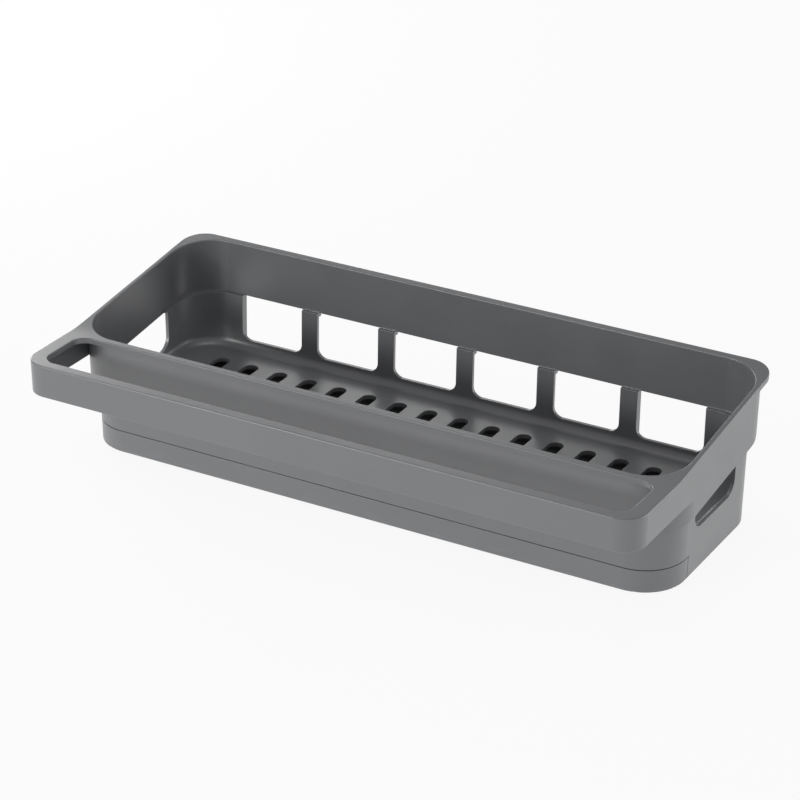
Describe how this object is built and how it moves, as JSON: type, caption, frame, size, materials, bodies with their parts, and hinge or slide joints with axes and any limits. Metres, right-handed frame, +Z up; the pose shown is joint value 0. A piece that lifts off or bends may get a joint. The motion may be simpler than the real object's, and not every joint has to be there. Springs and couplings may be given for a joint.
{
  "type": "sink caddy",
  "caption": "Long open basket for beside a kitchen sink, with a towel rail along its front, drain slots, back and end windows and a drip tray that pulls out.",
  "frame": {"origin": "on the worktop, under the middle of the caddy", "axes": "+X along the length to the right, -Y to the front where the towel rail is, +Z up"},
  "size_m": [0.315, 0.147, 0.0733],
  "materials": {
    "basket_plastic": "fine satin moulding, mid grey",
    "tray_plastic": "fine satin moulding, mid grey",
    "foot_rubber": "soft matt pad, dark grey"
  },
  "bodies": {
    "caddy": {"basket": "basket_plastic", "foot_front_left": "foot_rubber", "foot_front_right": "foot_rubber", "foot_back_left": "foot_rubber", "foot_back_right": "foot_rubber"},
    "tray": {"drip_tray": "tray_plastic"}
  },
  "joints": [
    {"name": "tray_slide", "type": "slide", "parent": "caddy", "child": "tray", "axis": [0, -1, 0], "range_m": [0, 0.1]}
  ]
}
